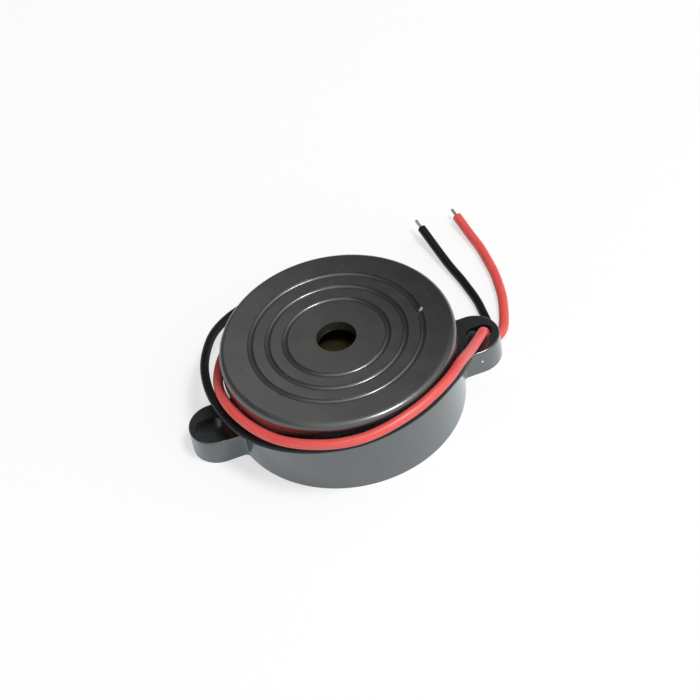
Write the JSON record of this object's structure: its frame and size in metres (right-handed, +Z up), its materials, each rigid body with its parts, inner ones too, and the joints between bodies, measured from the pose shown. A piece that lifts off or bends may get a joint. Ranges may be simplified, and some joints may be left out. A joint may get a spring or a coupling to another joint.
{
  "type": "buzzer",
  "caption": "Round black panel buzzer with ring grooves round a sound hole, slotted mounting ears and a red and a black hook-up lead wrapped round its side.",
  "frame": {"origin": "middle of the housing's base, on the axis of the round body, at the height of the surface it stands on", "axes": "+Z up through the sound hole, +X along the line of the two ears towards the ear the leads pass through, +Y towards the notch where the leads leave the base"},
  "size_m": [0.0645, 0.0584, 0.016],
  "materials": {
    "housing_plastic": "satin black moulded ABS",
    "disc_brass": "rolled sheet",
    "ceramic": "fired ceramic",
    "silver": "screen-printed silver",
    "sealant": "cured adhesive",
    "board": "paper phenolic board",
    "transistor_plastic": "moulded epoxy",
    "tinned_wire": "tinned copper",
    "ferrite": "sintered ferrite",
    "copper": "enamelled copper winding",
    "resistor_coat": "lacquer",
    "solder": "bright solder",
    "red_insulation": "soft PVC",
    "black_insulation": "soft PVC",
    "blue_insulation": "soft PVC"
  },
  "bodies": {
    "root": {"housing": "housing_plastic", "diaphragm": "disc_brass", "ceramic_disc": "ceramic", "drive_electrode": "silver", "feedback_electrode": "silver", "diaphragm_bead": "sealant", "driver_board": "board", "board_bead": "sealant", "transistor_case": "transistor_plastic", "transistor_legs": "tinned_wire", "choke_core": "ferrite", "choke_winding": "copper", "choke_legs": "tinned_wire", "base_resistor": "resistor_coat", "bias_resistor": "resistor_coat", "resistor_legs": "tinned_wire", "board_solder": "solder", "disc_solder": "solder", "ground_jumper": "black_insulation", "drive_jumper": "red_insulation", "feedback_jumper": "blue_insulation", "red_lead": "red_insulation", "red_lead_tip": "tinned_wire", "black_lead": "black_insulation", "black_lead_tip": "tinned_wire"}
  },
  "joints": []
}
